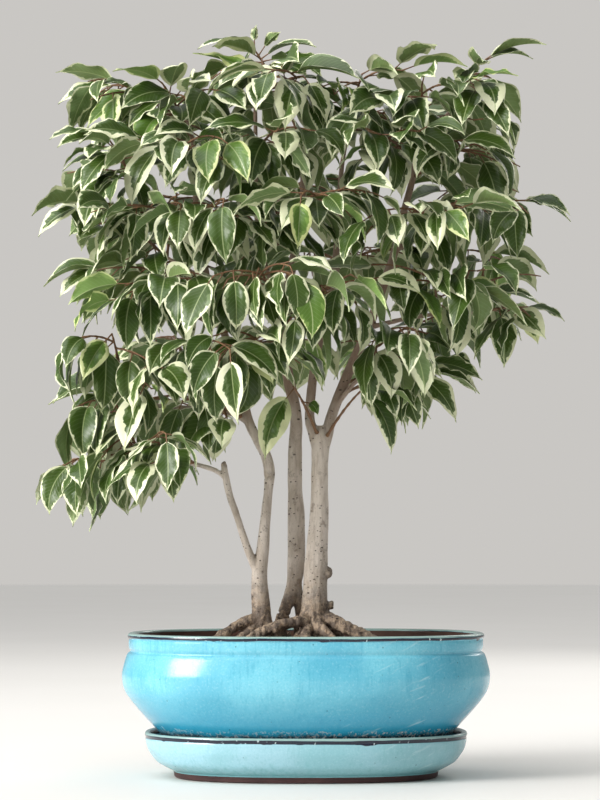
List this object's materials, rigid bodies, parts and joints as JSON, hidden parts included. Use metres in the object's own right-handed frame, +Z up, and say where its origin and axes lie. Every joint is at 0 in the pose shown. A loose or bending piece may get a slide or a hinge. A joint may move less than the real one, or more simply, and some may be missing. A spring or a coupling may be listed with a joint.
{
  "type": "potted weeping fig",
  "caption": "Variegated weeping fig with slim bare stems and a dense leafy crown, in an oval glazed pot standing in its matching saucer.",
  "frame": {"origin": "centre of the saucer's flat underside", "axes": "+Z up, -Y towards the front, +X to the right"},
  "size_m": [0.4314, 0.3105, 0.5932],
  "materials": {
    "glaze": "gloss",
    "soil": "matte",
    "bark": "matte",
    "leaf": "satin",
    "screen_plastic": "matte"
  },
  "bodies": {
    "root": {"pot": "glaze", "saucer": "glaze", "soil": "soil", "trunk_left": "bark", "trunk_middle": "bark", "trunk_right": "bark", "drain_screen_left": "screen_plastic", "drain_screen_right": "screen_plastic", "leaf_spray_01": "leaf", "leaf_spray_02": "leaf", "leaf_spray_03": "leaf", "leaf_spray_04": "leaf", "leaf_spray_05": "leaf", "leaf_spray_06": "leaf", "leaf_spray_07": "leaf", "leaf_spray_08": "leaf", "leaf_spray_09": "leaf", "leaf_spray_10": "leaf", "leaf_spray_11": "leaf", "leaf_spray_12": "leaf", "leaf_spray_13": "leaf", "leaf_spray_14": "leaf", "leaf_spray_15": "leaf", "leaf_spray_16": "leaf", "leaf_spray_17": "leaf", "leaf_spray_18": "leaf", "leaf_spray_19": "leaf", "leaf_spray_20": "leaf", "leaf_spray_21": "leaf", "leaf_spray_22": "leaf", "leaf_spray_23": "leaf", "leaf_spray_24": "leaf", "leaf_spray_25": "leaf", "leaf_spray_26": "leaf", "leaf_spray_27": "leaf", "leaf_spray_28": "leaf", "leaf_spray_29": "leaf", "leaf_spray_30": "leaf", "leaf_spray_31": "leaf", "leaf_spray_32": "leaf", "leaf_spray_33": "leaf", "leaf_spray_34": "leaf", "leaf_spray_35": "leaf", "leaf_spray_36": "leaf", "leaf_spray_37": "leaf", "leaf_spray_38": "leaf", "leaf_spray_39": "leaf", "leaf_spray_40": "leaf", "leaf_spray_41": "leaf", "leaf_spray_42": "leaf", "leaf_spray_43": "leaf", "leaf_spray_44": "leaf", "leaf_spray_45": "leaf", "leaf_spray_46": "leaf", "leaf_spray_47": "leaf", "leaf_spray_48": "leaf", "leaf_spray_49": "leaf", "leaf_spray_50": "leaf", "leaf_spray_51": "leaf", "leaf_spray_52": "leaf"}
  },
  "joints": []
}
